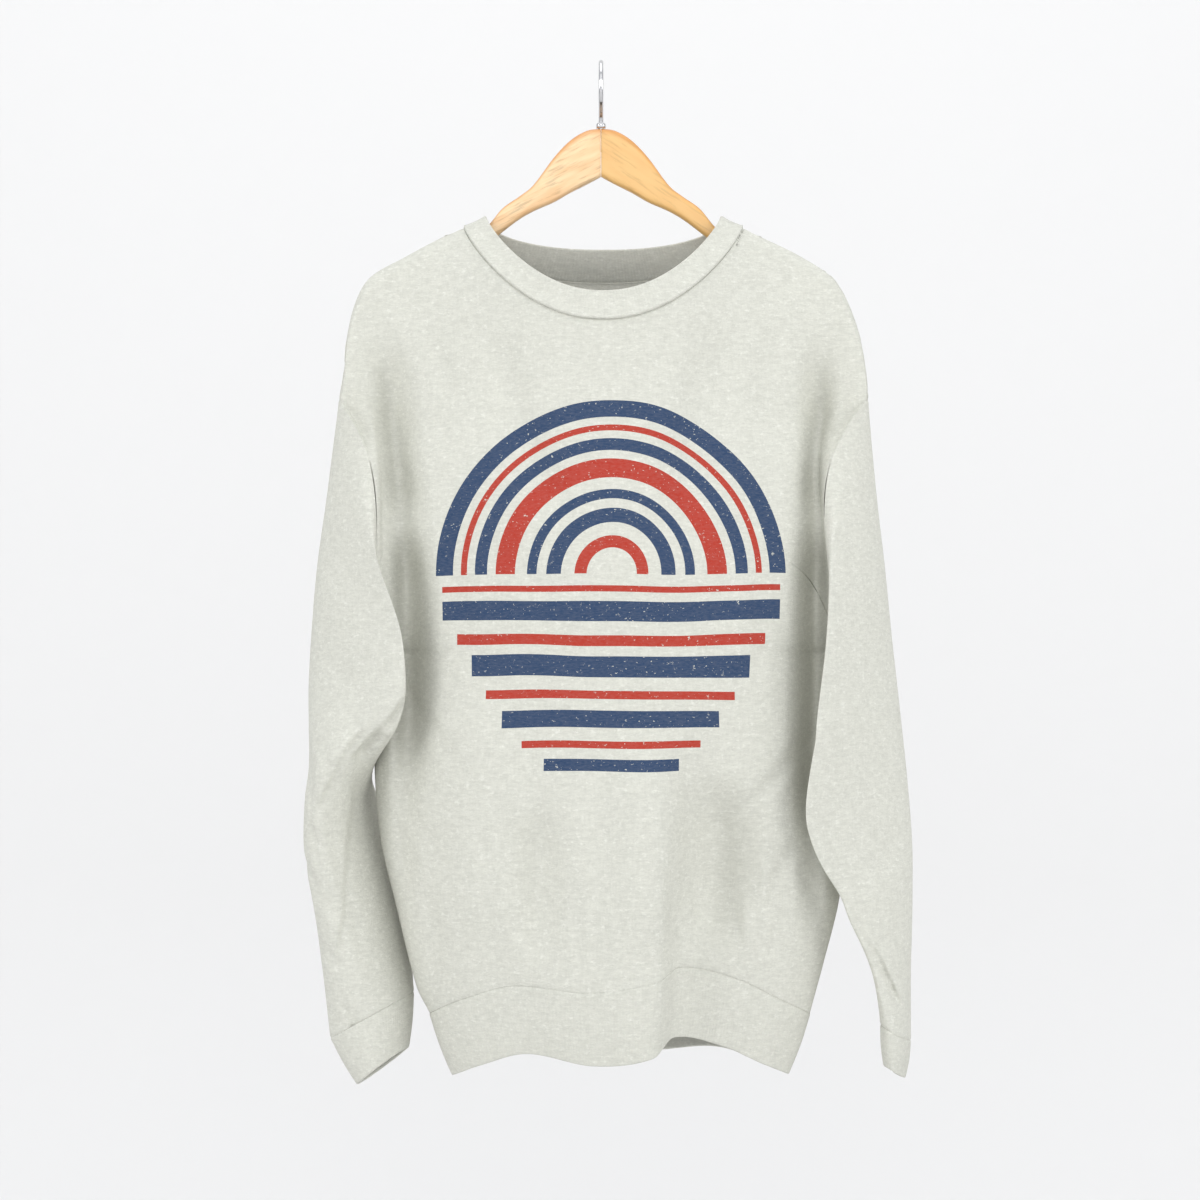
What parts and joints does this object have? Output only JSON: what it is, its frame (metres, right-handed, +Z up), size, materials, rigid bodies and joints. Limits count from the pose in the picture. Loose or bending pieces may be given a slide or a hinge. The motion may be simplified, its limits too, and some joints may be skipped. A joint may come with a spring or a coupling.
{
  "type": "crewneck sweatshirt on a wooden hanger",
  "caption": "Long-sleeved crewneck sweatshirt of pale heather fleece with ribbed collar, cuffs and hem, hung on a wooden hanger with a wire hook.",
  "frame": {"origin": "the top of the hook's throat, on the underside of the wire, where the hanger rests on a rail", "axes": "+Z up, +X to the viewer's right, -Y towards the viewer who faces the sweatshirt's front"},
  "size_m": [0.516, 0.1786, 0.8704],
  "materials": {
    "fleece": "soft heather jersey",
    "rib_knit": "fine rib knit",
    "pale_wood": "satin varnish",
    "golden_wood": "satin varnish",
    "hook_chrome": "polished"
  },
  "bodies": {
    "root": {"front_panel": "fleece", "back_panel": "fleece", "sleeve_left": "fleece", "sleeve_right": "fleece", "neck_collar": "rib_knit", "hem_band": "rib_knit", "cuff_left": "rib_knit", "cuff_right": "rib_knit", "hanger_arm_left": "pale_wood", "hanger_arm_right": "golden_wood", "hanger_hook": "hook_chrome", "hook_ferrule": "hook_chrome"}
  },
  "joints": []
}
